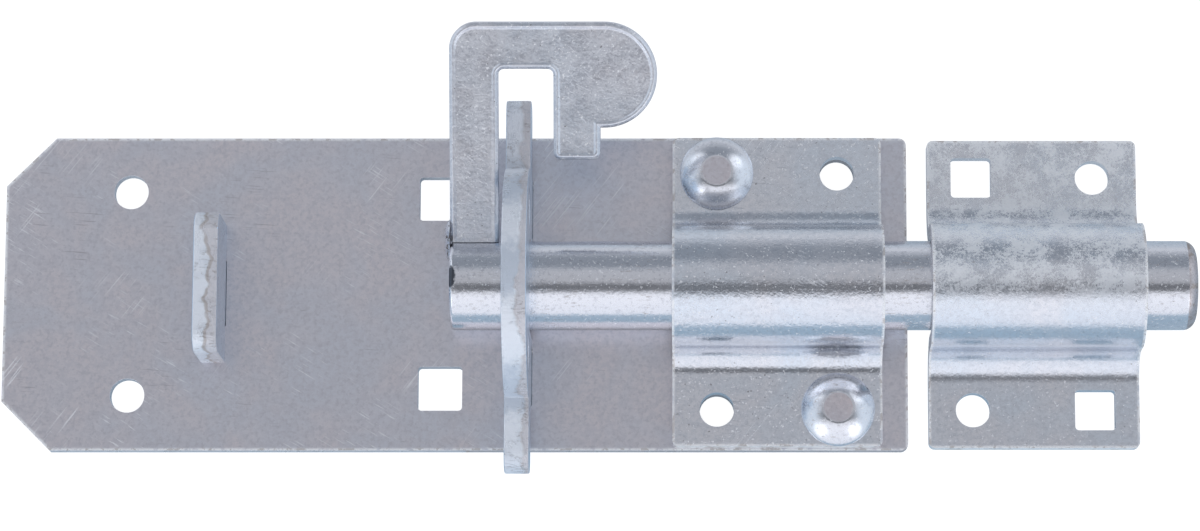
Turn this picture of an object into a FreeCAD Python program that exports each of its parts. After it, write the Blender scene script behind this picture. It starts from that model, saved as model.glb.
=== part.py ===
import FreeCAD, Part
import math
import os

from FreeCAD import Vector

# A padlockable bolt for a gate or shed door, in millimetres, lying on its mounting face.
# X runs along the bolt towards its tip, Y is up on a door, and Z points away from the door.
# The origin is on the mounting face, behind the middle of the back plate.

# Round bar
bar_diameter = 18.0
bar_length = 150.0
bar_tip_chamfer = 1.5
bar_rear_chamfer = 0.5
bar_lift = 0.5

# Back plate
plate_length = 184.0
plate_width = 64.5
plate_thickness = 3.0
plate_corner_cut = 10.0
plate_corner_round = 1.5
screw_hole_diameter = 7.0
screw_row_inset = 25.5
screw_margin = 11.25
square_hole = 9.0
square_hole_round = 0.8
square_row_inset = 89.0
square_margin = 12.65

# Guide strap over the bar
strap_thickness = 3.0
strap_side_inset = 0.5
strap_corner_round = 1.3
strap_hole_inset = 9.0
guide_inset = 5.3
guide_length = 42.5
guide_bend = 2.0
guide_hole_margin = 7.45
guide_clearance = 0.3

# Keeper for the door frame
door_gap = 4.2
keeper_length = 42.8
keeper_bend = 6.0
keeper_hole_margin = 7.75
keeper_square_hole = 8.2
keeper_clearance = 0.6

# Rivets that hold the guide
rivet_diameter = 6.8
rivet_clearance = 0.1
rivet_head_diameter = 15.0
rivet_head_height = 3.6
rivet_head_rim = 0.5
rivet_flat_diameter = 5.8
rivet_tail_spread = 1.6

# Lock plate round the bar
lug_thickness = 5.0
lock_inset = 102.6
lock_clearance = 0.3
lock_wall = 14.3
ear_reach = 14.4
ear_underside_rise = 4.0
ear_height = 9.5
ear_round = 4.0
lock_tenon_width = 11.5
lock_tenon_shoulder = 0.6
slot_clearance = 0.1
padlock_hole_diameter = 7.5
padlock_hole_angle = 25.0

# Stop behind the bar
stop_inset = 40.2
stop_width = 28.6
stop_height = 17.0
stop_corner_round = 4.0
stop_tenon_width = 13.2

# Hooked handle
handle_thickness = 3.5
handle_tilt = 16.0
leg_width = 9.8
leg_gap = 1.3
notch_play = 4.8
notch_clearance = 5.8
notch_round = 1.2
tab_width = 9.4
tab_round = 1.5
tab_clearance = 2.0
bridge_width = 9.4
hump_radius = 10.6
hump_offset = 0.8
elbow_round = 5.3
handle_edge_break = 0.6
turning_clearance = 0.05

# Weld between the handle and the bar's rear end
weld_clearance = 0.1
weld_proud = 1.1
weld_width = 5.2
weld_length = 9.0

# Places that follow from the sizes above
bar_radius = bar_diameter / 2
axis_height = plate_thickness + bar_lift + bar_radius
plate_left = -plate_length / 2
plate_right = plate_length / 2
strap_half = plate_width / 2 - strap_side_inset
guide_left = plate_right - guide_inset - guide_length
keeper_left = plate_right + door_gap
strap_top = plate_thickness + strap_thickness
lock_left = plate_left + lock_inset
lock_bore = bar_radius + lock_clearance
lock_radius = lock_bore + lock_wall
ear_end = lock_radius + ear_reach
ear_underside = plate_thickness + ear_underside_rise
lock_foot_outer = lock_radius - lock_tenon_shoulder
lock_foot_inner = lock_foot_outer - lock_tenon_width
stop_left = plate_left + stop_inset
leg_right = lock_left - leg_gap
leg_left = leg_right - leg_width
notch_right = leg_right + leg_gap + lug_thickness + notch_play
tab_right = notch_right + tab_width
tab_end = lock_radius + tab_clearance
notch_end = ear_end + notch_clearance
handle_top = notch_end + bridge_width
hump_x = tab_right + hump_offset
hump_y = handle_top - hump_radius
bar_rear = leg_left + weld_clearance


def arc(first, middle, last):
    return Part.Arc(first, middle, last).toShape()


def line(first, last):
    return Part.LineSegment(first, last).toShape()


def corner_points(before, corner, after, radius):
    """The first, middle and last point of the arc that rounds a corner."""
    to_before = (before - corner).normalize()
    to_after = (after - corner).normalize()
    half_angle = to_before.getAngle(to_after) / 2
    reach = radius / math.tan(half_angle)
    inward = (to_before + to_after).normalize()
    middle = corner + inward * (radius / math.sin(half_angle) - radius)
    return corner + to_before * reach, middle, corner + to_after * reach


def rounded_wire(corners):
    """A closed wire through corners given as (point, radius), where radius 0 is sharp."""
    stretches = []
    for index, (point, radius) in enumerate(corners):
        before = corners[index - 1][0]
        after = corners[(index + 1) % len(corners)][0]
        if radius > 0:
            stretches.append(corner_points(before, point, after, radius))
        else:
            stretches.append((point,))
    edges = []
    for index, stretch in enumerate(stretches):
        if len(stretch) == 3:
            edges.append(arc(*stretch))
        edges.append(line(stretch[-1], stretches[(index + 1) % len(stretches)][0]))
    return Part.Wire(edges)


def prism(wire, direction):
    return Part.Face(wire).extrude(direction)


def joined(edges):
    return Part.Wire(Part.__sortEdges__(edges))


def plan(x_start, x_end, half_width, radius):
    """The corners of a rectangle on the mounting face, centred on the bolt's line."""
    places = ((x_start, -half_width), (x_end, -half_width), (x_end, half_width), (x_start, half_width))
    return [(Vector(x, y, 0), radius) for x, y in places]


def block(x_start, length, y_start, y_end, z_start, z_end):
    return Part.makeBox(length, y_end - y_start, z_end - z_start, Vector(x_start, y_start, z_start))


def bar_along(radius, x_start, x_end):
    """A cylinder on the bolt's axis."""
    return Part.makeCylinder(radius, x_end - x_start, Vector(x_start, 0, axis_height), Vector(1, 0, 0))


def round_punch(x, y, diameter, top):
    """A round cutter from below the mounting face to above a given height."""
    return Part.makeCylinder(diameter / 2, top + 2, Vector(x, y, -1))


def square_punch(x, y, side, top):
    half = side / 2
    punch = prism(rounded_wire(plan(x - half, x + half, half, square_hole_round)), Vector(0, 0, top + 2))
    punch.translate(Vector(0, y, -1))
    return punch


def tunnel(radius, foot, x_start, length):
    """A prism along the bolt with a half-round top and straight sides down to a foot."""
    left_foot = Vector(x_start, -radius, foot)
    left_spring = Vector(x_start, -radius, axis_height)
    crown = Vector(x_start, 0, axis_height + radius)
    right_spring = Vector(x_start, radius, axis_height)
    right_foot = Vector(x_start, radius, foot)
    sides = [line(left_foot, left_spring), line(right_spring, right_foot), line(right_foot, left_foot)]
    return prism(joined([arc(left_spring, crown, right_spring)] + sides), Vector(length, 0, 0))


def strap_holes(left, length, margin):
    """The places near a strap's corners: rear upper with front lower, then the other two."""
    rear = left + strap_hole_inset
    front = left + length - strap_hole_inset
    half = strap_half - margin
    return ((rear, half), (front, -half)), ((front, half), (rear, -half))


def guide_holes():
    """The guide's rivet places, then its screw places."""
    return strap_holes(guide_left, guide_length, guide_hole_margin)


def strap_skin(wall, foot, bend):
    """One face of a strap's section, from its left edge over the bar to its right edge."""
    knee = wall + bend
    turn = bend * math.sqrt(0.5)

    def at(y, z):
        return Vector(0, y, z)

    edges = [arc(at(-wall, axis_height), at(0, axis_height + wall), at(wall, axis_height))]
    for side in (-1, 1):
        middle = at(side * (knee - turn), foot + bend - turn)
        edges.append(line(at(side * strap_half, foot), at(side * knee, foot)))
        edges.append(arc(at(side * knee, foot), middle, at(side * wall, foot + bend)))
        edges.append(line(at(side * wall, foot + bend), at(side * wall, axis_height)))
    return edges


def strap(left, length, foot, clearance, bend):
    """A sheet pressed over the bar, with a flange above and below."""
    bore = bar_radius + clearance
    top = foot + strap_thickness
    under_skin = strap_skin(bore, foot, bend + strap_thickness)
    upper_skin = strap_skin(bore + strap_thickness, top, bend)
    ends = [line(Vector(0, side * strap_half, foot), Vector(0, side * strap_half, top)) for side in (-1, 1)]
    section = prism(joined(under_skin + upper_skin + ends), Vector(length, 0, 0))
    section.translate(Vector(left, 0, 0))
    outline = rounded_wire(plan(left, left + length, strap_half, strap_corner_round))
    return section.common(prism(outline, Vector(0, 0, axis_height + bore + 2 * strap_thickness)))


def rivet(x, y):
    """A rivet with a flat-topped round head and a countersunk tail in the plate's back."""
    shank = rivet_diameter / 2
    tail = shank + rivet_tail_spread
    head = rivet_head_diameter / 2
    flat = rivet_flat_diameter / 2
    rim_top = strap_top + rivet_head_rim
    head_top = strap_top + rivet_head_height
    rise = head_top - rim_top
    depth = (head ** 2 - flat ** 2 - rise ** 2) / (2 * rise)
    ball = math.hypot(head, depth)
    middle_angle = (math.atan2(depth, head) + math.atan2(rise + depth, flat)) / 2
    middle_z = rim_top - depth + ball * math.sin(middle_angle)
    profile = [(flat, head_top), (0, head_top), (0, 0), (tail, 0), (shank, rivet_tail_spread)]
    profile += [(shank, strap_top), (head, strap_top), (head, rim_top)]
    points = [Vector(r, 0, z) for r, z in profile]
    dome = arc(points[-1], Vector(ball * math.cos(middle_angle), 0, middle_z), points[0])
    edges = [line(*pair) for pair in zip(points, points[1:])]
    solid = Part.Face(joined(edges + [dome])).revolve(Vector(0, 0, 0), Vector(0, 0, 1), 360)
    solid.translate(Vector(x, y, 0))
    return solid


def rivet_hole(x, y):
    """The cutter for a rivet's shank and its countersunk tail."""
    shank = rivet_diameter / 2 + rivet_clearance
    tail = shank + rivet_tail_spread
    sink = Part.makeCone(tail, shank, rivet_tail_spread, Vector(x, y, 0))
    return round_punch(x, y, 2 * shank, strap_top).fuse(sink)


def bolt_bar():
    """The round bar, turned with a chamfer at each end."""
    tip = bar_rear + bar_length
    profile = [
        (bar_rear, 0),
        (bar_rear, bar_radius - bar_rear_chamfer),
        (bar_rear + bar_rear_chamfer, bar_radius),
        (tip - bar_tip_chamfer, bar_radius),
        (tip, bar_radius - bar_tip_chamfer),
        (tip, 0),
    ]
    points = [Vector(x, 0, axis_height + r) for x, r in profile]
    face = Part.Face(Part.makePolygon(points + points[:1]))
    return face.revolve(Vector(0, 0, axis_height), Vector(1, 0, 0), 360)


def lock_plate():
    """The lug that the bar runs through, with an ear each side that the handle's notch straddles."""
    body = tunnel(lock_radius, plate_thickness, lock_left, lug_thickness)
    ear_top = ear_underside + ear_height
    corners = ((-ear_end, ear_underside), (ear_end, ear_underside), (ear_end, ear_top), (-ear_end, ear_top))
    outline = rounded_wire([(Vector(lock_left, y, z), ear_round) for y, z in corners])
    pieces = [prism(outline, Vector(lug_thickness, 0, 0))]
    for low, high in lock_feet():
        pieces.append(block(lock_left, lug_thickness, low, high, 0, plate_thickness + lock_clearance))
    body = body.fuse(pieces).removeSplitter()
    cutters = [tunnel(lock_bore, 0, lock_left - 1, lug_thickness + 2)]
    for side in (-1, 1):
        cutters.append(padlock_hole(side))
    return body.cut(cutters)


def lock_feet():
    """The two tenons of the lock plate, as (lowest Y, highest Y)."""
    return (-lock_foot_outer, -lock_foot_inner), (lock_foot_inner, lock_foot_outer)


def padlock_hole(side):
    """The cutter for a shackle hole, half way through the lock plate's wall."""
    reach = (lock_bore + lock_radius) / 2
    angle = math.radians(padlock_hole_angle)
    start = Vector(lock_left - 1, side * reach * math.cos(angle), axis_height + reach * math.sin(angle))
    return Part.makeCylinder(padlock_hole_diameter / 2, lug_thickness + 2, start, Vector(1, 0, 0))


def rear_stop():
    """The lug that the bar's rear end meets when it is drawn back."""
    foot = stop_tenon_width / 2
    half = stop_width / 2
    front = plate_thickness + stop_height
    corners = [
        (-foot, 0, 0),
        (foot, 0, 0),
        (foot, plate_thickness, 0),
        (half, plate_thickness, 0),
        (half, front, stop_corner_round),
        (-half, front, stop_corner_round),
        (-half, plate_thickness, 0),
        (-foot, plate_thickness, 0),
    ]
    outline = rounded_wire([(Vector(stop_left, y, z), radius) for y, z, radius in corners])
    return prism(outline, Vector(lug_thickness, 0, 0))


def tenon_slot(left, low, high):
    """The cutter for a tenon's slot through the back plate."""
    gap = slot_clearance
    return block(left - gap, lug_thickness + 2 * gap, low - gap, high + gap, -1, plate_thickness + 1)


def back_plate():
    """The flat plate with two cut corners, its holes and the slots for the lugs."""
    half = plate_width / 2
    cut = plate_corner_cut
    outline = [
        (plate_left, -half + cut, 0),
        (plate_left + cut, -half, 0),
        (plate_right, -half, plate_corner_round),
        (plate_right, half, plate_corner_round),
        (plate_left + cut, half, 0),
        (plate_left, half - cut, 0),
    ]
    wire = rounded_wire([(Vector(x, y, 0), radius) for x, y, radius in outline])
    plate = prism(wire, Vector(0, 0, plate_thickness))
    screw_x = plate_left + screw_row_inset
    square_x = plate_left + square_row_inset
    cutters = []
    for side in (-1, 1):
        screw_y = side * (half - screw_margin)
        square_y = side * (half - square_margin)
        cutters.append(round_punch(screw_x, screw_y, screw_hole_diameter, plate_thickness))
        cutters.append(square_punch(square_x, square_y, square_hole, plate_thickness))
    cutters += guide_hole_cutters()
    cutters += [tenon_slot(lock_left, low, high) for low, high in lock_feet()]
    cutters.append(tenon_slot(stop_left, -stop_tenon_width / 2, stop_tenon_width / 2))
    return plate.cut(cutters)


def guide_hole_cutters():
    """The cutters for the rivets and screws that go through the guide and the plate."""
    rivet_places, screw_places = guide_holes()
    cutters = [rivet_hole(*place) for place in rivet_places]
    return cutters + [round_punch(*place, screw_hole_diameter, strap_top) for place in screw_places]


def guide_strap():
    """The guide, riveted at two corners and drilled for screws at the other two."""
    solid = strap(guide_left, guide_length, plate_thickness, guide_clearance, guide_bend)
    return solid.cut(guide_hole_cutters())


def keeper():
    """The strap for the door frame, with two square holes and two round ones."""
    solid = strap(keeper_left, keeper_length, 0, keeper_clearance, keeper_bend)
    square_places, screw_places = strap_holes(keeper_left, keeper_length, keeper_hole_margin)
    cutters = [square_punch(*place, keeper_square_hole, strap_thickness) for place in square_places]
    cutters += [round_punch(*place, screw_hole_diameter, strap_thickness) for place in screw_places]
    return solid.cut(cutters)


def handle_outline():
    """The hooked handle seen square on, at the height of its back."""
    z = axis_height - handle_thickness / 2

    def at(x, y):
        return Vector(x, y, z)

    hump_low = hump_y - hump_radius
    corners = [
        (at(hump_x, hump_low), 0),
        (at(tab_right, hump_low), 0),
        (at(tab_right, tab_end), tab_round),
        (at(notch_right, tab_end), tab_round),
        (at(notch_right, notch_end), notch_round),
        (at(leg_right, notch_end), notch_round),
        (at(leg_right, 0), 0),
        (at(leg_left, 0), 0),
        (at(leg_left, handle_top), elbow_round),
        (at(hump_x, handle_top), 0),
    ]
    edges = rounded_wire(corners).OrderedEdges[:-1]
    hump = arc(at(hump_x, handle_top), at(hump_x + hump_radius, hump_y), at(hump_x, hump_low))
    return joined(edges + [hump])


def tilted(solid):
    """Turns a solid about the bar's axis, from flat against the door to where the handle stands."""
    solid.rotate(Vector(0, 0, axis_height), Vector(1, 0, 0), handle_tilt)
    return solid


def handle():
    """The hooked plate with its front edges broken, and its foot hollowed to sit on the bar."""
    plate = prism(handle_outline(), Vector(0, 0, handle_thickness))
    front = axis_height + handle_thickness / 2
    rim = [edge for edge in plate.Edges if abs(edge.CenterOfMass.z - front) < 1e-6]
    plate = plate.makeChamfer(handle_edge_break, rim)
    seat = bar_along(bar_radius + turning_clearance, leg_left - 1, tab_right)
    below = block(leg_left - 1, leg_width + 2, -bar_diameter, 0, 0, 2 * axis_height)
    return tilted(plate.cut([seat, below]))


def handle_weld():
    """The bead that joins the handle's foot to the bar's rear end: the proud side of a long drop."""
    half = weld_length / 2
    half_width = weld_width / 2
    depth = (half_width ** 2 - weld_proud ** 2) / (2 * weld_proud)
    radius = depth + weld_proud
    centre = Vector(leg_left + depth, bar_radius, axis_height)
    run = half - half_width
    bead = Part.makeCylinder(radius, 2 * run, centre - Vector(0, run, 0), Vector(0, 1, 0))
    rounds = [Part.makeSphere(radius, centre + Vector(0, side * run, 0)) for side in (-1, 1)]
    bead = bead.fuse(rounds).removeSplitter()
    keep = block(leg_left - weld_proud - 1, weld_proud + 1, -bar_diameter, handle_top, 0, 2 * axis_height)
    return tilted(bead.common(keep))


def whole(shape):
    """The one solid of a finished piece."""
    if len(shape.Solids) != 1:
        raise ValueError("a piece came out as %d solids" % len(shape.Solids))
    return shape.Solids[0]


def main():
    upper, lower = guide_holes()[0]
    pieces = {
        "back_plate": back_plate(),
        "guide_strap": guide_strap(),
        "rivet_upper": rivet(*upper),
        "rivet_lower": rivet(*lower),
        "lock_plate": lock_plate(),
        "rear_stop": rear_stop(),
        "bolt_bar": bolt_bar(),
        "handle": handle(),
        "handle_weld": handle_weld(),
        "keeper": keeper(),
    }
    os.makedirs("parts", exist_ok=True)
    for name, shape in pieces.items():
        whole(shape).exportStep(os.path.join("parts", name + ".step"))


main()
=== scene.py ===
import math

import bmesh
import bpy
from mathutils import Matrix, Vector


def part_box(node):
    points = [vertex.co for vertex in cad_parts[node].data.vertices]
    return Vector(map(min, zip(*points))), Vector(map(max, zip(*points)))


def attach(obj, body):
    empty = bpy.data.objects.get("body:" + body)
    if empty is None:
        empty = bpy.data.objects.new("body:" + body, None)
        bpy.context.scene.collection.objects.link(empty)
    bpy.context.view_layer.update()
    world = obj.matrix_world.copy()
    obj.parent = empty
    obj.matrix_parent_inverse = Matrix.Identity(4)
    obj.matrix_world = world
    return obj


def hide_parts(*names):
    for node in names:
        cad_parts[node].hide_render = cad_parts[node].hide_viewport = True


bl_info = {
    "name": "Padbolt looks",
    "version": (1, 0, 0),
    "blender": (4, 5, 0),
    "location": "3D View > Sidebar > Padbolt",
    "description": "Dresses a padlockable door bolt in worn zinc plate and lights it for a catalogue view",
    "category": "Object",
}

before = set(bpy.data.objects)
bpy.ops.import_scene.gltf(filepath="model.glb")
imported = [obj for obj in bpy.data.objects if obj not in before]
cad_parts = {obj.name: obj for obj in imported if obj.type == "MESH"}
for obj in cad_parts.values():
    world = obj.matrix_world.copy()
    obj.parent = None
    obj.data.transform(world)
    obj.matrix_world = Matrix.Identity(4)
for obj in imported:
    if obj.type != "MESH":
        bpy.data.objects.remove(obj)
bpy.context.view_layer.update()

# Metres in a millimetre, the unit of every length below
MM = 0.001

# The solids as they are built
STRAP_THICKNESS = 3.0
GUIDE_BEND_BUILT = 2.0
HANDLE_TILT = math.radians(16)
EDGE_CHAMFER = 0.6
CUT_CORNER = 10.0

# Forms that are made here alone
GUIDE_BEND_SEEN = 5.0
BEND_CUTS = 2
EDGE_STEPS = (0.35, 0.35, 0.35)
EDGE_DEPTH = 0.9
TIP_ROUND = 0.85
TIP_CHAMFER_REACH = 1.6
BAR_REACH = 9.6
BAR_FADE = 2.0

# Tolerances on the solids' meshes
SAME_POINT = 0.002
SAME_PLACE = 0.01
SAME_RING = 0.001
ON_SKIN = 0.03
FLAT_ANGLE = math.radians(0.5)
SHARP_ANGLE = math.radians(28)
RING_ANGLE = 0.5
SQUARE_ON = 0.999

# Places in a piece's list of finishes, and the mark for a rounding that takes its face's own
MAIN_FINISH = 0
OTHER_FINISH = 1
EDGE_FINISH = 2
FACE_FINISH = -1

# Numbers of the Mix node's colour sockets, whose names are all alike
MIX_FACTOR = 0
MIX_FIRST = 6
MIX_SECOND = 7
MIX_RESULT = 2

# Where the painted highlight line along an outline starts and is full, how the frosting fades in, and the
# painted shade zones on the lock plate's front edge, each by its middle and half length
BORDER_STARTS = 0.75
BORDER_FULL = 0.15
FROST_FADE = 12
FROST_EVERYWHERE = -60
PAINTED_SHADE_ZONES = ((17.0, 1.2), (-1.0, 3.5), (-23.0, 2.0))
SHADE_ZONE_FADE = 4
BURNT_HALF_SIZE = (1.3, 2.7, 2.2)

# Colours that don't follow the plating's: white for painted glints on specks and dots, white for a painted
# edge highlight along outlines, brown wear, and the burnt spot's dark
SPECK_GLINT_WHITE = (0.98, 0.98, 0.99)
DOT_GLINT_WHITE = (0.97, 0.97, 0.98)
EDGE_HIGHLIGHT_WHITE = (1.0, 1.0, 1.0)
WORN_BROWN = (0.42, 0.36, 0.33)
BURNT_DARK = (0.10, 0.11, 0.13)

# The studio's light round the bolt's line: degrees from overhead to the upper edge's side, level, blueness
SKY_BANDS = (
    (-180, 0.34, 0.20),
    (-124, 0.36, 0.22),
    (-106, 0.92, 0.05),
    (-38, 1.04, 0),
    (-31, 0.98, 0),
    (-26, 0.50, 0),
    (-20, 0.17, 0.04),
    (-8, 0.17, 0.04),
    (-3, 0.43, 0),
    (3, 0.505, 0),
    (28, 0.53, 0.02),
    (36, 0.44, 0.08),
    (43, 0.29, 0.16),
    (70, 0.31, 0.16),
    (80, 0.50, 0.08),
    (104, 0.60, 0.05),
    (180, 0.34, 0.18),
)
SKY_TINT = (0.965, 0.985, 1.055)
SKY_SEEN = (0.98, 0.98, 0.98)
SIDE_TINT = (0.84, 0.94, 1.06)
SKY_SIDES = 0.88

# Four round patches of light that the rivets mirror, by their direction
SPOTS = ((-0.64, 0.62, 0.46), (0.66, 0.55, 0.50), (0.62, -0.66, 0.42), (-0.62, -0.66, 0.42))
SPOT_EDGE = math.radians(19)
SPOT_CORE = math.radians(8)
SPOT_LEVEL = 0.8
SPOT_TINT = (0.97, 1.0, 1.05)

# The floor: half its width in metres, how far it lies below the part, and what the metal mirrors of it
FLOOR_HALF = 4.0
FLOOR_DROP = 0.05
FLOOR_LIT = 0.3
FLOOR_MIRRORED_LOWER = (0.17, 0.28, 0.38)
FLOOR_MIRRORED_UPPER = (0.46, 0.48, 0.52)

# The photograph's view
IMAGE_WIDTH = 1200
FOCAL_PIXELS = 4500
LENS_AXIS_PIXEL = 700
SENSOR_WIDTH = 36
CAMERA_AIM = (49.8, 5.8, 3.0)


# Properties that a user would change

class PadboltFinish(bpy.types.PropertyGroup):
    """The zinc plate's colours and texture."""
    plate_colour: bpy.props.FloatVectorProperty(
        name="Plate colour", description="Zinc on the flat back plate",
        subtype="COLOR", size=3, min=0, max=1, default=(0.775, 0.765, 0.80))
    strap_colour: bpy.props.FloatVectorProperty(
        name="Strap colour", description="Zinc on the guide and the keeper",
        subtype="COLOR", size=3, min=0, max=1, default=(0.78, 0.81, 0.85))
    bar_colour: bpy.props.FloatVectorProperty(
        name="Bar colour", description="Zinc on the round bar and the rivets",
        subtype="COLOR", size=3, min=0, max=1, default=(0.80, 0.81, 0.85))
    handle_colour: bpy.props.FloatVectorProperty(
        name="Handle colour", description="Zinc on the hooked handle",
        subtype="COLOR", size=3, min=0, max=1, default=(0.75, 0.77, 0.81))
    shear_colour: bpy.props.FloatVectorProperty(
        name="Sheared edge colour", description="Zinc on the rough cut edges",
        subtype="COLOR", size=3, min=0, max=1, default=(0.90, 0.93, 0.98))
    stain_colour: bpy.props.FloatVectorProperty(
        name="Stain colour", description="Brownish stains in the cut edges and the weld",
        subtype="COLOR", size=3, min=0, max=1, default=(0.34, 0.26, 0.20))
    edge_round: bpy.props.FloatProperty(
        name="Edge rounding",
        description="Widest rounding of an edge; short edges beside it keep it narrower",
        subtype="DISTANCE", unit="LENGTH", min=0.00005, max=0.001, default=0.00028)
    scratches: bpy.props.FloatProperty(
        name="Scratches", description="How much the fine scratches show",
        subtype="FACTOR", min=0, max=1, default=0.8)


class PadboltStage(bpy.types.PropertyGroup):
    """The floor, the studio's light and the camera."""
    floor_colour: bpy.props.FloatVectorProperty(
        name="Floor colour", description="Plain pale floor",
        subtype="COLOR", size=3, min=0, max=1, default=(0.95, 0.95, 0.95))
    camera_distance: bpy.props.FloatProperty(
        name="Camera distance", description="From the back plate's front to the camera",
        subtype="DISTANCE", unit="LENGTH", min=0.2, max=5, default=0.918)
    camera_tilt: bpy.props.FloatProperty(
        name="Camera tilt",
        description="How far the camera leans from straight above towards the lower edge",
        subtype="ANGLE", unit="ROTATION", min=0, max=1.5, default=math.radians(10))
    light_power: bpy.props.FloatProperty(
        name="Light power", description="Scales the light of the studio round the part",
        subtype="FACTOR", min=0.1, max=5, default=1.0)


# Shader maths

class Signal:
    """A shader socket that takes part in Python arithmetic."""

    def __init__(self, shader, socket):
        self.shader = shader
        self.socket = socket

    def _math(self, operation, *values):
        return self.shader.add("ShaderNodeMath", {"operation": operation}, dict(enumerate(values)))

    def __add__(self, other):
        return self._math("ADD", self, other)

    def __radd__(self, other):
        return self._math("ADD", other, self)

    def __sub__(self, other):
        return self._math("SUBTRACT", self, other)

    def __rsub__(self, other):
        return self._math("SUBTRACT", other, self)

    def __mul__(self, other):
        return self._math("MULTIPLY", self, other)

    def __rmul__(self, other):
        return self._math("MULTIPLY", other, self)

    def __truediv__(self, other):
        return self._math("DIVIDE", self, other)

    def __rtruediv__(self, other):
        return self._math("DIVIDE", other, self)

    def at_most(self, other):
        return self._math("MINIMUM", self, other)

    def at_least(self, other):
        return self._math("MAXIMUM", self, other)

    def absolute(self):
        return self._math("ABSOLUTE", self)

    def rise(self, low, high):
        """0 below low, 1 above high, and a smooth rise between."""
        return self.shader.add("ShaderNodeMapRange", {"interpolation_type": "SMOOTHSTEP"},
                               {"Value": self, "From Min": low, "From Max": high})

    def fall(self, low, high):
        """1 below low, 0 above high, and a smooth fall between."""
        return 1 - self.rise(low, high)

    def band(self, start, full, fade, end):
        """A smooth hump that is 1 between full and fade."""
        return self.rise(start, full) * self.fall(fade, end)


class Shader:
    """Builds one node tree."""

    def __init__(self, tree):
        self.tree = tree
        tree.nodes.clear()

    def add(self, kind, settings=None, inputs=None, output=0):
        """A node of one kind: its settings are set first, then its sockets' values or links."""
        node = self.tree.nodes.new(kind)
        for name, value in (settings or {}).items():
            if name == "stops":
                self._set_stops(node.color_ramp, value)
            else:
                setattr(node, name, value)
        for name, value in (inputs or {}).items():
            if isinstance(value, Signal):
                self.tree.links.new(value.socket, node.inputs[name])
            else:
                node.inputs[name].default_value = value
        return Signal(self, node.outputs[output]) if node.outputs else node

    @staticmethod
    def _set_stops(ramp, stops):
        """Sets a ramp's stops, each a position, a level and how blue it is."""
        while len(ramp.elements) < len(stops):
            ramp.elements.new(1.0)
        for element, (position, level, blue) in zip(ramp.elements, stops):
            element.position = position
            element.color = (level * (1 - blue / 2), level, level * (1 + blue / 2), 1)

    def mix(self, factor, first, second):
        """Blends two colours."""
        sockets = {MIX_FACTOR: factor, MIX_FIRST: colour_value(first), MIX_SECOND: colour_value(second)}
        return self.add("ShaderNodeMix", {"data_type": "RGBA"}, sockets, MIX_RESULT)

    def vector(self, operation, *vectors, output=0, **named):
        """Vector Math, whose vectors go by their place because their sockets have one name."""
        sockets = {**dict(enumerate(vectors)), **named}
        return self.add("ShaderNodeVectorMath", {"operation": operation}, sockets, output)

    def place(self):
        """The point on the object at rest, in millimetres."""
        point = self.add("ShaderNodeTexCoord", output="Object")
        return self.vector("SCALE", point, Scale=1 / MM)

    def along(self, axis, point):
        """How far a point or a direction reaches along the X, Y or Z axis."""
        return self.add("ShaderNodeSeparateXYZ", None, {"Vector": point}, axis)

    def noise(self, point, scale, detail=3.0, roughness=0.55, distortion=0.0):
        return self.add("ShaderNodeTexNoise", None, {
            "Vector": point, "Scale": scale, "Detail": detail, "Roughness": roughness,
            "Distortion": distortion})

    def drawn_noise(self, point, scales, **settings):
        """Noise that is drawn out along some axes, with a scale for each axis."""
        return self.noise(self.vector("MULTIPLY", point, scales), 1.0, **settings)

    def streaks(self, point, angle, along, across, threshold, patch_scale=0.05):
        """Thin broken scratches in one direction of the plate's plane, in scattered patches."""
        turned = self.add("ShaderNodeVectorRotate", {"rotation_type": "Z_AXIS"}, {
            "Vector": point, "Angle": math.radians(angle)})
        lines = self.drawn_noise(turned, (1 / along, 1 / across, 1 / across), detail=2.0, roughness=0.4)
        elsewhere = self.vector("ADD", point, (along * 7, across * 90, 0))
        patches = self.noise(elsewhere, patch_scale, detail=1.0)
        return lines.rise(threshold, threshold + 0.05) * patches.rise(0.54, 0.62)


# Finishes

def colour_value(colour):
    """A colour as a socket takes it, or a link as it is."""
    return colour if isinstance(colour, Signal) else (*colour[:3], 1.0)


def tinted(colour, factors):
    """The colour with a factor on each channel."""
    return [channel * factor for channel, factor in zip(colour, factors)]


def new_material(name):
    """An empty material and what builds its nodes."""
    material = bpy.data.materials.new(name)
    material.use_nodes = True
    return material, Shader(material.node_tree)


def close_material(shader, colour, roughness, height, *, bump_strength, bump_depth, metallic=1.0):
    """Metal under everything: colour and roughness vary, and height makes the bump."""
    normal = shader.add("ShaderNodeBump", None, {
        "Strength": bump_strength, "Distance": bump_depth * MM, "Height": height})
    metal = shader.add("ShaderNodeBsdfPrincipled", None, {
        "Base Color": colour, "Metallic": metallic, "Roughness": roughness, "Normal": normal})
    shader.add("ShaderNodeOutputMaterial", None, {"Surface": metal})


def outline_band(shader, point, node, cut_corner=0.0):
    """1 in a narrow line along the sheet's outline, where a painted edge highlight and brown wear go."""
    low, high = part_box(node)
    x = shader.along("X", point)
    y = shader.along("Y", point)
    across = (x - (low.x + high.x) / 2 / MM).absolute() - (high.x - low.x) / 2 / MM
    up = (y - (low.y + high.y) / 2 / MM).absolute() - (high.y - low.y) / 2 / MM
    inside = across.at_least(up)
    if cut_corner:
        rear = (low.x / MM - x) - (high.y / MM - y.absolute()) + cut_corner
        inside = inside.at_least(rear * math.sqrt(0.5))
    return inside.rise(-BORDER_STARTS, -BORDER_FULL)


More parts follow.
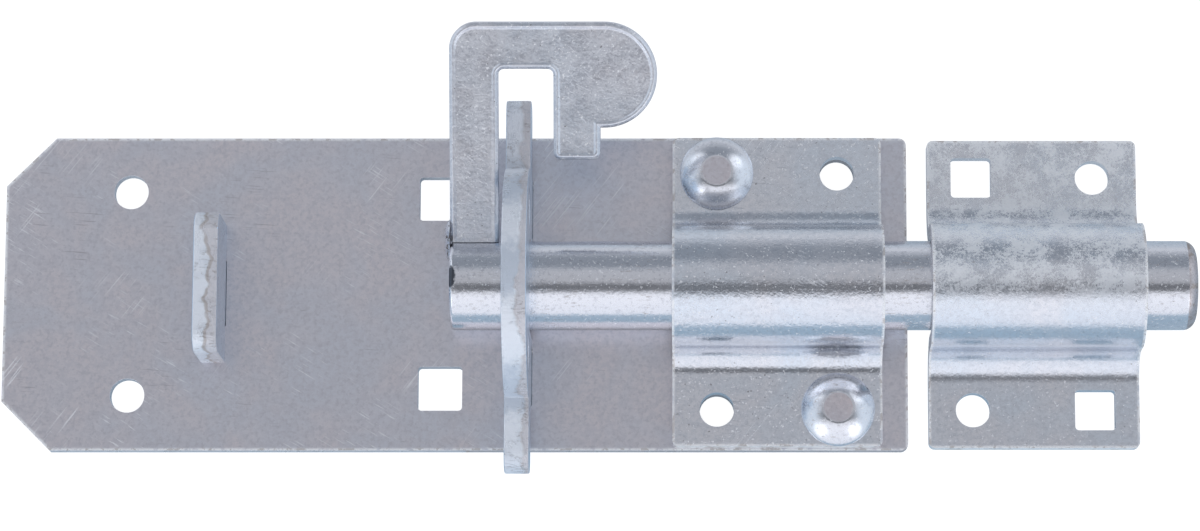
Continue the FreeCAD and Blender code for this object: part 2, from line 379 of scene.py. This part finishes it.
def sheet_zinc(name, colour, *, roughness, relief, speckle, scratches=0.0, frost=0.0, frost_from_y=0.0,
               outline_of=None, cut_corner=0.0):
    """Zinc on rolled sheet: cool and warm mottling, cloudy frosting, white specks painted as glints, dark
    specks, scratches.
    """
    material, shader = new_material(name)
    point = shader.place()
    broad = shader.noise(point, 0.055, detail=3.0, roughness=0.6, distortion=0.5)
    mottle = shader.noise(point, 0.9, detail=4.0, roughness=0.7)
    grain = shader.noise(point, 1.25, detail=2.0, roughness=0.6)
    elsewhere = shader.vector("ADD", point, (31, 17, 5))
    # White, less metallic dots: painted glints
    glint_dots = shader.noise(point, 1.9, detail=1.0, roughness=0.5).rise(0.64, 0.74)
    dark_dots = shader.noise(elsewhere, 1.5, detail=1.0, roughness=0.5).rise(0.73, 0.79)

    clouds = shader.noise(point, 0.22, detail=5.0, roughness=0.72, distortion=0.2)
    crystals = shader.noise(point, 2.2, detail=3.0, roughness=0.8)
    frosted_part = shader.along("Y", point).rise(frost_from_y, frost_from_y + FROST_FADE)
    frosting = (clouds + (crystals - 0.5) * 0.8).rise(0.38, 0.62) * frost * frosted_part

    long_scratches = shader.streaks(point, -52, along=16, across=0.34, threshold=0.63)
    short_scratches = shader.streaks(point, 31, along=5, across=0.30, threshold=0.63, patch_scale=0.08)
    level_scratches = shader.streaks(point, 4, along=9, across=0.30, threshold=0.66, patch_scale=0.07)
    light_scratch = (long_scratches + short_scratches).at_most(1.0) * scratches
    dark_scratch = level_scratches * scratches

    cool = tinted(colour, (0.96, 0.99, 1.02))
    warm = tinted(colour, (1.04, 1.0, 0.99))
    base = shader.mix(broad.rise(0.35, 0.65), cool, warm)
    base = shader.mix(mottle.rise(0.38, 0.64) * 0.6, base, tinted(colour, (0.87, 0.87, 0.89)))
    base = shader.mix(grain.rise(0.50, 0.68) * 0.5, base, tinted(colour, (0.78, 0.78, 0.80)))
    base = shader.mix(frosting, base, tinted(colour, (1.24, 1.21, 1.17)))
    base = shader.mix(dark_dots * speckle, base, tinted(colour, (0.45, 0.43, 0.42)))
    base = shader.mix(dark_scratch * 0.6, base, tinted(colour, (0.50, 0.48, 0.48)))
    bright = (glint_dots * speckle + light_scratch * 0.8).at_most(1.0)
    base = shader.mix(bright, base, SPECK_GLINT_WHITE)

    border = 0.0
    if outline_of:
        border = outline_band(shader, point, outline_of, cut_corner)
        patchiness = shader.noise(point, 0.35, detail=4.0, roughness=0.7)
        # Painted edge highlight: white in a broken line along the outline; the brown beside it is wear
        base = shader.mix(border * patchiness.rise(0.34, 0.50), base, EDGE_HIGHLIGHT_WHITE)
        base = shader.mix(border * patchiness.rise(0.53, 0.58) * 0.6, base, WORN_BROWN)

    rough = roughness + (mottle - 0.5) * 0.10 + frosting * 0.15
    height = grain * 0.9 + mottle * 0.15 + crystals * frosting * 0.3
    height = height - light_scratch * 0.5 - dark_scratch * 0.4
    metallic = 1 - frosting * 0.7 - glint_dots * speckle * 0.8
    metallic = (metallic - light_scratch * 0.6 - border * 0.75).at_least(0.1)
    close_material(shader, base, rough, height, bump_strength=0.7, bump_depth=relief, metallic=metallic)
    return material


def edge_sheen_and_wear(name, colour, stain, *, metallic=0.45, stained=0.56):
    """The plating on a rounded edge: brighter, partly rubbed zinc and partly a painted edge highlight, with
    brown where it has worn through.
    """
    material, shader = new_material(name)
    point = shader.place()
    patchiness = shader.noise(point, 0.45, detail=5.0, roughness=0.75)
    grain = shader.noise(point, 2.2, detail=3.0, roughness=0.7)
    # Brighter than the plating: partly rubbed zinc, partly a painted edge highlight
    rubbed_and_highlight = tinted(colour, (1.20, 1.18, 1.16))
    dirty = tinted(colour, (0.85, 0.82, 0.80))
    base = shader.mix(grain.rise(0.45, 0.6) * 0.5, rubbed_and_highlight, dirty)
    base = shader.mix(patchiness.rise(stained, stained + 0.08) * 0.6, base, stain)
    rough = 0.30 + grain * 0.15
    close_material(shader, base, rough, grain, bump_strength=0.6, bump_depth=0.06, metallic=metallic)
    return material


def bar_zinc(name, colour, stain, *, roughness, relief, burnt_at=None):
    """Zinc on drawn or forged metal: speckled grain, white dots painted as glints, rub marks, stains, and a
    burnt spot by the weld.
    """
    material, shader = new_material(name)
    point = shader.place()
    grain = shader.noise(point, 1.2, detail=2.5, roughness=0.65)
    clouds = shader.noise(point, 0.2, detail=3.0)
    drawn = shader.drawn_noise(point, (0.12, 2.2, 2.2), detail=3.0)
    rub = shader.drawn_noise(point, (0.5, 1.9, 1.9), detail=4.0, roughness=0.65).rise(0.57, 0.66)
    rub = rub * shader.noise(point, 0.09, detail=1.0).rise(0.46, 0.56)
    # White, less metallic dots: painted glints
    bar_glint_dots = shader.noise(point, 1.9, detail=1.0).rise(0.62, 0.70)
    base = shader.mix(grain.rise(0.50, 0.74) * 0.7, colour, tinted(colour, (0.72, 0.72, 0.74)))
    base = shader.mix(rub * 0.35, base, stain)
    base = shader.mix(bar_glint_dots * 0.6, base, DOT_GLINT_WHITE)
    rough = roughness + (clouds - 0.5) * 0.10 + (grain - 0.5) * 0.15 + rub * 0.1
    height = grain * 0.9 + drawn * 0.25
    if burnt_at is not None:
        away = shader.vector("SUBTRACT", point, burnt_at)
        away = shader.vector("MULTIPLY", away, [1 / half for half in BURNT_HALF_SIZE])
        distance = shader.vector("LENGTH", away, output="Value")
        ragged = (shader.noise(point, 1.1, detail=4.0) - 0.5) * 0.9
        burnt = (distance + ragged).fall(0.75, 1.05)
        base = shader.mix(burnt, base, BURNT_DARK)
        rough = rough + burnt * 0.25
        height = height - burnt * 1.5
    metallic = (1 - bar_glint_dots * 0.5 - rub * 0.3).at_least(0.2)
    close_material(shader, base, rough, height, bump_strength=0.6, bump_depth=relief, metallic=metallic)
    return material


def sheared_zinc(name, colour, stain, *, start_x=0.0, thickness=5.0, torn_share=0.5, shade_zones=()):
    """Zinc over a sheared edge: a burnished strip, a wavy ridge with stain in it, a torn strip, dull
    patches, and painted shade in any given zones.
    """
    material, shader = new_material(name)
    point = shader.place()
    across = (shader.along("X", point) - start_x) / thickness
    wave = shader.drawn_noise(point, (0.05, 0.16, 0.16), detail=3.0, roughness=0.6)
    place = across + (wave - 0.5) * 1.1
    line = 1 - torn_share
    torn = place.rise(line - 0.05, line + 0.07)
    ridge = place.band(line - 0.10, line - 0.02, line + 0.03, line + 0.12)

    ticks = shader.drawn_noise(point, (0.25, 1.6, 1.6), detail=3.0, roughness=0.7)
    grain = shader.noise(point, 1.3, detail=3.0, roughness=0.7)
    patches = shader.noise(point, 0.13, detail=3.0, roughness=0.6)
    cracks = shader.drawn_noise(point, (0.22, 0.75, 0.75), detail=4.0, roughness=0.6, distortion=0.8)
    cracks = cracks.band(0.485, 0.497, 0.503, 0.515) * patches.rise(0.50, 0.58)
    gloss = shader.drawn_noise(point, (0.5, 0.14, 0.14), detail=4.0, roughness=0.7).rise(0.50, 0.62)

    dull_and_shade = patches.rise(0.50, 0.62) * 0.4
    # Painted shade: darker blue-grey zones along the edge's length, each given by its middle and half
    # length, with wavering ends
    waver = (shader.noise(point, 0.4, detail=4.0, roughness=0.7) - 0.5) * 9
    along = shader.along("Y", point) + waver
    for middle, half in shade_zones:
        start = middle - half
        end = middle + half
        zone = along.band(start - SHADE_ZONE_FADE, start, end, end + SHADE_ZONE_FADE)
        dull_and_shade = dull_and_shade.at_least(zone)

    base = shader.mix(dull_and_shade * 0.7, colour, tinted(colour, (0.60, 0.65, 0.71)))
    base = shader.mix(torn * 0.75, base, tinted(colour, (0.76, 0.70, 0.68)))
    specks = grain.rise(0.5, 0.7) * (0.1 + torn * 0.4)
    base = shader.mix(specks, base, tinted(colour, (0.66, 0.66, 0.68)))
    base = shader.mix(ridge * (torn_share - 0.2) * 1.8 * patches.rise(0.38, 0.52), base, stain)
    base = shader.mix(cracks * 0.45, base, stain)
    rough = 0.50 - gloss * 0.24 + (ticks - 0.5) * 0.2
    height = ticks * 0.6 + grain * (0.3 + torn * 0.5) + torn * 0.4
    height = height + ridge * 0.7 - cracks * 0.9 + gloss * 0.4
    close_material(shader, base, rough, height, bump_strength=0.6, bump_depth=0.28, metallic=0.25)
    return material


def weld_metal(name, colour, stain):
    """Weld metal with burnt scale between its ripples."""
    material, shader = new_material(name)
    point = shader.place()
    scale = shader.noise(point, 0.7, detail=4.0, roughness=0.6)
    grain = shader.noise(point, 2.4, detail=4.0)
    base = shader.mix(scale.rise(0.52, 0.64), colour, tinted(stain, (0.5, 0.55, 0.6)))
    rough = 0.24 + scale.rise(0.45, 0.7) * 0.3
    height = scale * 0.8 + grain * 0.4
    close_material(shader, base, rough, height, bump_strength=0.7, bump_depth=0.25)
    return material


# Pieces

def bar_axis():
    """A point on the bar's axis."""
    low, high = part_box("bolt_bar")
    return (low + high) / 2


def strap_wall(node):
    """Half the outer width of the strap's arch, which is round about the bar's axis."""
    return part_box(node)[1].z - bar_axis().z


def other_finish_where(test):
    """Picks the second finish for the faces whose normal passes the test."""
    return lambda face: OTHER_FINISH if test(face.normal) else MAIN_FINISH


def fine_mesh(node):
    """A copy of a solid's mesh, with each flat face made whole."""
    mesh = bmesh.new()
    mesh.from_mesh(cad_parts[node].data)
    bmesh.ops.remove_doubles(mesh, verts=mesh.verts, dist=SAME_POINT * MM)
    bmesh.ops.dissolve_limit(mesh, angle_limit=FLAT_ANGLE, verts=mesh.verts, edges=mesh.edges)
    return mesh


def solid_piece(node, body, materials, edge_round, *, finish_of_face=None, shaping=None,
                edge_finish=FACE_FINISH):
    """A finer copy of a solid, with rounded edges, that takes the solid's place."""
    mesh = fine_mesh(node)
    if shaping:
        shaping(mesh)
    for face in mesh.faces:
        face.smooth = True
        face.material_index = finish_of_face(face) if finish_of_face else MAIN_FINISH
    data = bpy.data.meshes.new(node + "_finished")
    mesh.to_mesh(data)
    mesh.free()
    piece = bpy.data.objects.new(node + "_finished", data)
    bpy.context.scene.collection.objects.link(piece)
    for material in materials:
        data.materials.append(material)
    bevel = piece.modifiers.new("edge_round", "BEVEL")
    bevel.limit_method = "ANGLE"
    bevel.angle_limit = SHARP_ANGLE
    bevel.width = edge_round
    bevel.segments = 3
    bevel.use_clamp_overlap = True
    bevel.material = edge_finish
    weighted = piece.modifiers.new("even_shading", "WEIGHTED_NORMAL")
    weighted.keep_sharp = True
    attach(piece, body)
    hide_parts(node)
    return piece


def open_out_bends(mesh):
    """Gives the guide's pressed bends the easier sweep that the thick sheet really takes."""
    tight = GUIDE_BEND_BUILT * MM
    ease = GUIDE_BEND_SEEN * MM - tight
    skins = (tight, tight + STRAP_THICKNESS * MM)
    middle_y = strap_wall("guide_strap") + tight
    middle_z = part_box("back_plate")[1].z + skins[1]
    close = SAME_PLACE * MM

    def from_middle(vertex, y, z):
        return Vector((0, abs(vertex.co.y) - y, vertex.co.z - z))

    def place(vertex, out, y, z, radius):
        side = 1 if vertex.co.y > 0 else -1
        turned = out.normalized() * radius
        vertex.co.y = side * (y + turned.y)
        vertex.co.z = z + turned.z

    bend = {}
    for vertex in mesh.verts:
        out = from_middle(vertex, middle_y, middle_z)
        skin = min(skins, key=lambda radius: abs(out.length - radius))
        if abs(out.length - skin) < ON_SKIN * MM and out.y < close and out.z < close:
            bend[vertex] = skin + ease
            place(vertex, out, middle_y + ease, middle_z + ease, skin + ease)
    across = []
    for edge in mesh.edges:
        start, end = edge.verts
        on_one_skin = start in bend and end in bend and bend[start] == bend[end]
        if on_one_skin and abs(start.co.x - end.co.x) < close:
            across.append(edge)
    radii = sorted(set(bend.values()))
    finer = bmesh.ops.subdivide_edges(mesh, edges=across, cuts=BEND_CUTS)
    for vertex in finer["geom_inner"]:
        if isinstance(vertex, bmesh.types.BMVert):
            out = from_middle(vertex, middle_y + ease, middle_z + ease)
            radius = min(radii, key=lambda value: abs(out.length - value))
            place(vertex, out, middle_y + ease, middle_z + ease, radius)


def round_tip(mesh):
    """Rounds the two edges of the bar's front chamfer into one nose."""
    nose_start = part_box("bolt_bar")[1].x - TIP_CHAMFER_REACH * MM
    rings = []
    for edge in mesh.edges:
        start, end = edge.verts
        level = abs(start.co.x - end.co.x) < SAME_RING * MM
        if level and start.co.x > nose_start and edge.calc_face_angle(0) > RING_ANGLE:
            rings.append(edge)
    bmesh.ops.bevel(mesh, geom=rings, offset=TIP_ROUND * MM, segments=4, profile=0.5, affect="EDGES")


def soften_handle(mesh):
    """Turns the narrow chamfer round the handle's front into the broad soft edge of a worn casting."""
    outward = Vector((0, -math.sin(HANDLE_TILT), math.cos(HANDLE_TILT)))
    fronts = [face for face in mesh.faces if face.normal.dot(outward) > SQUARE_ON]
    front = max(fronts, key=lambda face: face.calc_area())
    rings = [list(front.verts)]
    for step in EDGE_STEPS:
        bmesh.ops.inset_region(mesh, faces=[front], thickness=step * MM, use_even_offset=True)
        rings.append(list(front.verts))
    known = set(rings[0]) | set(rings[1])
    outer = {edge.other_vert(vertex) for vertex in rings[0] for edge in vertex.link_edges} - known
    steps = (EDGE_CHAMFER, *EDGE_STEPS, 0.0)
    built = (EDGE_CHAMFER, *[0.0] * len(rings))
    width = EDGE_CHAMFER + sum(EDGE_STEPS)
    axis = bar_axis()
    reach = 0.0
    for ring, built_drop, step in zip([outer] + rings, built, steps):
        drop = EDGE_DEPTH * (1 - math.sqrt(max(0.0, 1 - (1 - reach / width) ** 2))) - built_drop
        reach += step
        for vertex in ring:
            from_bar = math.hypot(vertex.co.y - axis.y, vertex.co.z - axis.z) / MM
            share = min(1.0, max(0.0, (from_bar - BAR_REACH) / BAR_FADE))
            vertex.co -= outward * drop * share * MM


# Steps that dress the pieces

class PADBOLT_OT_back_plate(bpy.types.Operator):
    """Finish the flat back plate"""
    bl_idname = "padbolt.back_plate"
    bl_label = "Back plate"

    def execute(self, context):
        finish = context.scene.padbolt_finish
        sheet = sheet_zinc(
            "plate_sheet", finish.plate_colour, roughness=0.36, relief=0.035, speckle=0.12,
            scratches=finish.scratches, outline_of="back_plate", cut_corner=CUT_CORNER)
        rim = sheared_zinc("plate_rim", tinted(finish.shear_colour, (0.7, 0.7, 0.7)), finish.stain_colour)
        edge = edge_sheen_and_wear("plate_edge", finish.plate_colour, finish.stain_colour)
        on_rim = other_finish_where(lambda normal: abs(normal.z) < 0.5)
        solid_piece("back_plate", "plate", (sheet, rim, edge), finish.edge_round,
                    finish_of_face=on_rim, edge_finish=EDGE_FINISH)
        return {"FINISHED"}


class PADBOLT_OT_straps(bpy.types.Operator):
    """Finish the guide on the plate and the separate keeper"""
    bl_idname = "padbolt.straps"
    bl_label = "Guide and keeper"

    def execute(self, context):
        finish = context.scene.padbolt_finish
        rim = sheared_zinc("strap_rim", finish.shear_colour, finish.stain_colour)
        guide = sheet_zinc(
            "guide_sheet", finish.strap_colour, roughness=0.20, relief=0.09, speckle=0.8,
            scratches=finish.scratches * 0.5, frost=0.12, frost_from_y=-5, outline_of="guide_strap")
        keeper = sheet_zinc(
            "keeper_sheet", finish.strap_colour, roughness=0.24, relief=0.07, speckle=0.6,
            scratches=finish.scratches * 0.2, frost=0.95, frost_from_y=-9, outline_of="keeper")
        edge = edge_sheen_and_wear("strap_edge", finish.strap_colour, finish.stain_colour)
        on_cut_end = other_finish_where(lambda normal: abs(normal.x) > 0.9)
        solid_piece("guide_strap", "plate", (guide, rim, edge), finish.edge_round,
                    finish_of_face=on_cut_end, shaping=open_out_bends, edge_finish=EDGE_FINISH)
        solid_piece("keeper", "plate", (keeper, rim, edge), finish.edge_round,
                    finish_of_face=on_cut_end, edge_finish=EDGE_FINISH)
        return {"FINISHED"}


class PADBOLT_OT_rivets(bpy.types.Operator):
    """Finish the two rivets of the guide"""
    bl_idname = "padbolt.rivets"
    bl_label = "Rivets"

    def execute(self, context):
        finish = context.scene.padbolt_finish
        zinc = bar_zinc("rivet_metal", finish.bar_colour, finish.stain_colour, roughness=0.23, relief=0.02)
        flat = sheet_zinc("rivet_flat", tinted(finish.plate_colour, (1.04, 0.99, 0.97)),
                          roughness=0.34, relief=0.10, speckle=0.3)
        on_flat = other_finish_where(lambda normal: normal.z > SQUARE_ON)
        for node in ("rivet_upper", "rivet_lower"):
            solid_piece(node, "plate", (zinc, flat), finish.edge_round,
                        finish_of_face=on_flat)
        return {"FINISHED"}


class PADBOLT_OT_lugs(bpy.types.Operator):
    """Finish the lock plate and the rear stop"""
    bl_idname = "padbolt.lugs"
    bl_label = "Lock plate and stop"

    def execute(self, context):
        finish = context.scene.padbolt_finish
        # The side faces take a darker, bluer copy of the strap zinc: painted blue shade
        sheet = sheet_zinc(
            "lug_sheet_blue_shade", tinted(finish.strap_colour, (0.80, 0.90, 0.98)), roughness=0.28, relief=0.05,
            speckle=0.4, scratches=finish.scratches * 0.3, frost=0.2, frost_from_y=FROST_EVERYWHERE)
        on_rim = other_finish_where(lambda normal: abs(normal.x) < 0.5)
        # The lock plate's front edge takes the painted shade zones; the stop's takes none
        for node, torn_share, shade_zones in (("lock_plate", 0.28, PAINTED_SHADE_ZONES), ("rear_stop", 0.48, ())):
            low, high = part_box(node)
            rim = sheared_zinc(
                node + "_rim", finish.shear_colour, finish.stain_colour, start_x=low.x / MM,
                thickness=(high.x - low.x) / MM, torn_share=torn_share, shade_zones=shade_zones)
            solid_piece(node, "plate", (sheet, rim), finish.edge_round * 1.6,
                        finish_of_face=on_rim)
        return {"FINISHED"}


class PADBOLT_OT_bolt_bar(bpy.types.Operator):
    """Finish the round bar"""
    bl_idname = "padbolt.bolt_bar"
    bl_label = "Bar"

    def execute(self, context):
        finish = context.scene.padbolt_finish
        low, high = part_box("bolt_bar")
        burnt_at = (low.x / MM, bar_axis().y / MM + 0.4, high.z / MM)
        zinc = bar_zinc("bar_metal", finish.bar_colour, finish.stain_colour, roughness=0.18, relief=0.06,
                        burnt_at=burnt_at)
        nose = edge_sheen_and_wear("bar_nose", tinted(finish.bar_colour, (0.62, 0.58, 0.57)), finish.stain_colour,
                         metallic=0.9, stained=0.50)
        on_nose = other_finish_where(lambda normal: 0.25 < normal.x < 0.99)
        solid_piece("bolt_bar", "bolt", (zinc, nose), finish.edge_round * 0.7,
                    finish_of_face=on_nose, shaping=round_tip)
        return {"FINISHED"}


class PADBOLT_OT_handle(bpy.types.Operator):
    """Finish the hooked handle"""
    bl_idname = "padbolt.handle"
    bl_label = "Handle"

    def execute(self, context):
        finish = context.scene.padbolt_finish
        zinc = sheet_zinc(
            "handle_sheet", finish.handle_colour, roughness=0.36, relief=0.11, speckle=1.0,
            scratches=finish.scratches * 0.5, frost=0.35, frost_from_y=FROST_EVERYWHERE)
        solid_piece("handle", "handle", (zinc,), finish.edge_round * 0.8,
                    shaping=soften_handle)
        return {"FINISHED"}


class PADBOLT_OT_handle_weld(bpy.types.Operator):
    """Finish the weld bead between the handle and the bar"""
    bl_idname = "padbolt.handle_weld"
    bl_label = "Weld"

    def execute(self, context):
        finish = context.scene.padbolt_finish
        metal = weld_metal("weld_bead", finish.bar_colour, finish.stain_colour)
        solid_piece("handle_weld", "handle", (metal,), finish.edge_round * 0.5)
        return {"FINISHED"}


# Stage

def sky(power):
    """A soft studio: bright below the object, grey above, and a dark band round the camera."""
    world = bpy.data.worlds.new("studio")
    bpy.context.scene.world = world
    world.use_nodes = True
    shader = Shader(world.node_tree)
    direction = shader.add("ShaderNodeTexCoord", output="Generated")
    x = shader.along("X", direction)
    y = shader.along("Y", direction)
    z = shader.along("Z", direction)
    lean = shader.add("ShaderNodeMath", {"operation": "ARCTAN2"}, {0: y, 1: z}) / (2 * math.pi) + 0.5
    stops = [(angle / 360 + 0.5, level, blue) for angle, level, blue in SKY_BANDS]
    bands = shader.add("ShaderNodeValToRGB", {"stops": stops}, {"Fac": lean})
    side = (x * x).rise(0.30, 0.75)
    tint = shader.vector("MULTIPLY", bands, SKY_TINT)
    tint = shader.mix(side, tint, tinted(SIDE_TINT, (SKY_SIDES,) * 3))
    for spot in SPOTS:
        toward = shader.vector("DOT_PRODUCT", direction, Vector(spot).normalized(), output="Value")
        glow = toward.rise(math.cos(SPOT_EDGE), math.cos(SPOT_CORE)) * SPOT_LEVEL
        tint = shader.vector("ADD", tint, shader.vector("SCALE", SPOT_TINT, Scale=glow))
    seen = shader.add("ShaderNodeLightPath", output="Is Camera Ray")
    colour = shader.mix(seen, tint, SKY_SEEN)
    backdrop = shader.add("ShaderNodeBackground", None, {"Color": colour, "Strength": power})
    shader.add("ShaderNodeOutputWorld", None, {"Surface": backdrop})


def floor(colour):
    """A pale floor that the camera sees bright, and that the metal mirrors as a greyer one."""
    corners = ((-1, -1), (1, -1), (1, 1), (-1, 1))
    data = bpy.data.meshes.new("floor")
    points = [(x * FLOOR_HALF, y * FLOOR_HALF, -FLOOR_DROP * MM) for x, y in corners]
    data.from_pydata(points, [], [(0, 1, 2, 3)])
    material, shader = new_material("floor")
    seen = shader.add("ShaderNodeLightPath", output="Is Camera Ray")
    upper = shader.along("Y", shader.place()).rise(-60, 120)
    mirrored = shader.mix(upper, tinted(colour, FLOOR_MIRRORED_LOWER), tinted(colour, FLOOR_MIRRORED_UPPER))
    glow = shader.mix(seen, mirrored, colour)
    surface = shader.add("ShaderNodeBsdfPrincipled", None, {
        "Base Color": colour_value(tinted(colour, (FLOOR_LIT,) * 3)), "Roughness": 0.9,
        "Emission Color": glow, "Emission Strength": 1.0})
    shader.add("ShaderNodeOutputMaterial", None, {"Surface": surface})
    data.materials.append(material)
    plane = bpy.data.objects.new("floor", data)
    bpy.context.scene.collection.objects.link(plane)


def camera(distance, tilt):
    """The photograph's view: straight down with a lean, framed a little to the left of the lens axis."""
    scene = bpy.context.scene
    aim = Vector(CAMERA_AIM) * MM
    data = bpy.data.cameras.new("camera")
    data.sensor_width = SENSOR_WIDTH
    data.lens = FOCAL_PIXELS / IMAGE_WIDTH * data.sensor_width
    data.shift_x = (IMAGE_WIDTH / 2 - LENS_AXIS_PIXEL) / IMAGE_WIDTH
    holder = bpy.data.objects.new("camera", data)
    holder.location = aim + Vector((0, -math.sin(tilt), math.cos(tilt))) * distance
    holder.rotation_euler = (tilt, 0, 0)
    scene.collection.objects.link(holder)
    scene.camera = holder


class PADBOLT_OT_stage(bpy.types.Operator):
    """Set up the floor, the studio's light and the camera"""
    bl_idname = "padbolt.stage"
    bl_label = "Stage"

    def execute(self, context):
        stage = context.scene.padbolt_stage
        context.scene.view_settings.view_transform = "Standard"
        sky(stage.light_power)
        floor(stage.floor_colour)
        camera(stage.camera_distance, stage.camera_tilt)
        return {"FINISHED"}


# Panel and registration

OPERATORS = (
    PADBOLT_OT_back_plate,
    PADBOLT_OT_straps,
    PADBOLT_OT_rivets,
    PADBOLT_OT_lugs,
    PADBOLT_OT_bolt_bar,
    PADBOLT_OT_handle,
    PADBOLT_OT_handle_weld,
    PADBOLT_OT_stage,
)


class PADBOLT_PT_panel(bpy.types.Panel):
    """Lists the steps that dress the padbolt"""
    bl_idname = "PADBOLT_PT_panel"
    bl_label = "Padbolt"
    bl_space_type = "VIEW_3D"
    bl_region_type = "UI"
    bl_category = "Padbolt"

    def draw(self, context):
        layout = self.layout
        for group in (context.scene.padbolt_finish, context.scene.padbolt_stage):
            for name in group.__annotations__:
                layout.prop(group, name)
        for operator in OPERATORS:
            layout.operator(operator.bl_idname)


CLASSES = (PadboltFinish, PadboltStage, *OPERATORS, PADBOLT_PT_panel)


def register():
    for item in CLASSES:
        bpy.utils.register_class(item)
    bpy.types.Scene.padbolt_finish = bpy.props.PointerProperty(type=PadboltFinish)
    bpy.types.Scene.padbolt_stage = bpy.props.PointerProperty(type=PadboltStage)


def unregister():
    del bpy.types.Scene.padbolt_stage
    del bpy.types.Scene.padbolt_finish
    for item in reversed(CLASSES):
        bpy.utils.unregister_class(item)


def main():
    register()
    for operator in OPERATORS:
        group, name = operator.bl_idname.split(".")
        getattr(getattr(bpy.ops, group), name)()


if __name__ == "__main__":
    main()
